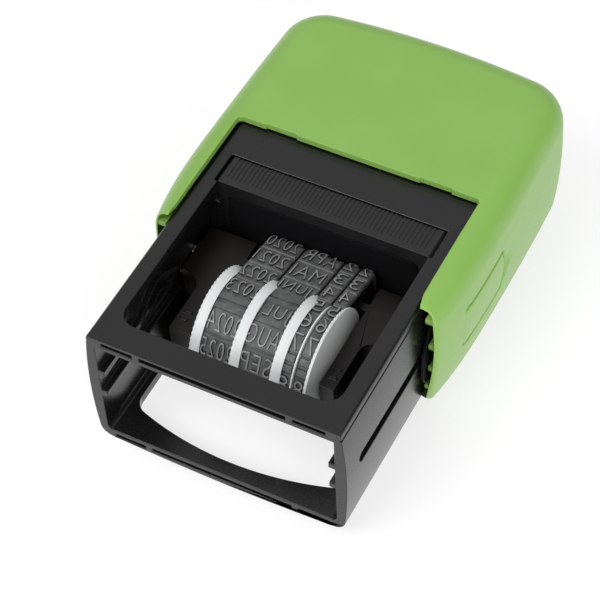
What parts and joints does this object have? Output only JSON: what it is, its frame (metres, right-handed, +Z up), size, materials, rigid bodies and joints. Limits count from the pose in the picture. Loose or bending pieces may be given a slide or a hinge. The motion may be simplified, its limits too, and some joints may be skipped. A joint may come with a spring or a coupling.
{
  "type": "self-inking date stamp",
  "caption": "Pocket self-inking date stamp: press cap on a sprung frame, flipping band carrier, toothed date wheels with rubber bands and a slide-in ink cartridge",
  "frame": {"origin": "on the surface that it lies on, below the middle of its overall box, lying on its back as in the picture", "axes": "+X across it to the right seen from the front, +Y from the foot to the top of the press cap, +Z up out of the front window"},
  "size_m": [0.0528, 0.0808, 0.0294],
  "materials": {
    "frame_black": "satin moulded black plastic",
    "cartridge_black": "satin moulded black plastic with fine ribs",
    "pad_felt": "felt soaked in black ink",
    "cap_green": "soft satin apple green moulded plastic",
    "yoke_black": "satin moulded black plastic",
    "spring_steel": "drawn steel wire",
    "carrier_black": "matt moulded black plastic, faintly brown",
    "pin_steel": "ground steel rod",
    "band_rubber": "matt grey rubber",
    "wheel_white": "off-white moulded plastic"
  },
  "bodies": {
    "base": {"base_frame": "frame_black"},
    "cartridge": {"ink_cartridge": "cartridge_black", "ink_pad": "pad_felt"},
    "cap": {"press_cap": "cap_green", "yoke": "yoke_black", "main_spring": "spring_steel"},
    "tab_left": {"lock_tab_left": "cap_green"},
    "tab_right": {"lock_tab_right": "cap_green"},
    "carrier": {"carrier": "carrier_black", "band_anvil": "carrier_black", "wheel_axle": "pin_steel", "pivot_pin_left": "pin_steel", "pivot_pin_right": "pin_steel", "year_band": "band_rubber", "month_band": "band_rubber", "tens_band": "band_rubber", "units_band": "band_rubber"},
    "wheel_year": {"year_wheel": "wheel_white"},
    "wheel_month": {"month_wheel": "wheel_white"},
    "wheel_tens": {"tens_wheel": "wheel_white"},
    "wheel_units": {"units_wheel": "wheel_white"}
  },
  "joints": [
    {"name": "cap_press", "type": "slide", "parent": "base", "child": "cap", "axis": [0, -1, 0], "range_m": [0, 0.0248], "stiffness_N_per_m": 320, "springref_m": -0.012, "deforming": ["main_spring"]},
    {"name": "carrier_flip", "type": "hinge", "parent": "cap", "child": "carrier", "pos_m": [0, -0.0102, 0.0165], "axis": [-1, 0, 0], "range_deg": [0, 180]},
    {"name": "year_turn", "type": "hinge", "parent": "carrier", "child": "wheel_year", "pos_m": [0, -0.022, 0.0165], "axis": [1, 0, 0], "continuous": true},
    {"name": "month_turn", "type": "hinge", "parent": "carrier", "child": "wheel_month", "pos_m": [0, -0.022, 0.0165], "axis": [1, 0, 0], "continuous": true},
    {"name": "tens_turn", "type": "hinge", "parent": "carrier", "child": "wheel_tens", "pos_m": [0, -0.022, 0.0165], "axis": [1, 0, 0], "continuous": true},
    {"name": "units_turn", "type": "hinge", "parent": "carrier", "child": "wheel_units", "pos_m": [0, -0.022, 0.0165], "axis": [1, 0, 0], "continuous": true},
    {"name": "cartridge_slide", "type": "slide", "parent": "base", "child": "cartridge", "axis": [0, 0, -1], "range_m": [-0.022, 0]},
    {"name": "lock_left", "type": "hinge", "parent": "cap", "child": "tab_left", "pos_m": [-0.0252, -0.0062, 0.0159], "axis": [0, 0, -1], "range_deg": [0, 3], "stiffness_Nm_per_rad": 2},
    {"name": "lock_right", "type": "hinge", "parent": "cap", "child": "tab_right", "pos_m": [0.0252, -0.0062, 0.0159], "axis": [0, 0, 1], "range_deg": [0, 3], "stiffness_Nm_per_rad": 2}
  ],
  "couplings": [
    {"joint": "carrier_flip", "follows": "cap_press", "rad_per_m": 126.68}
  ]
}
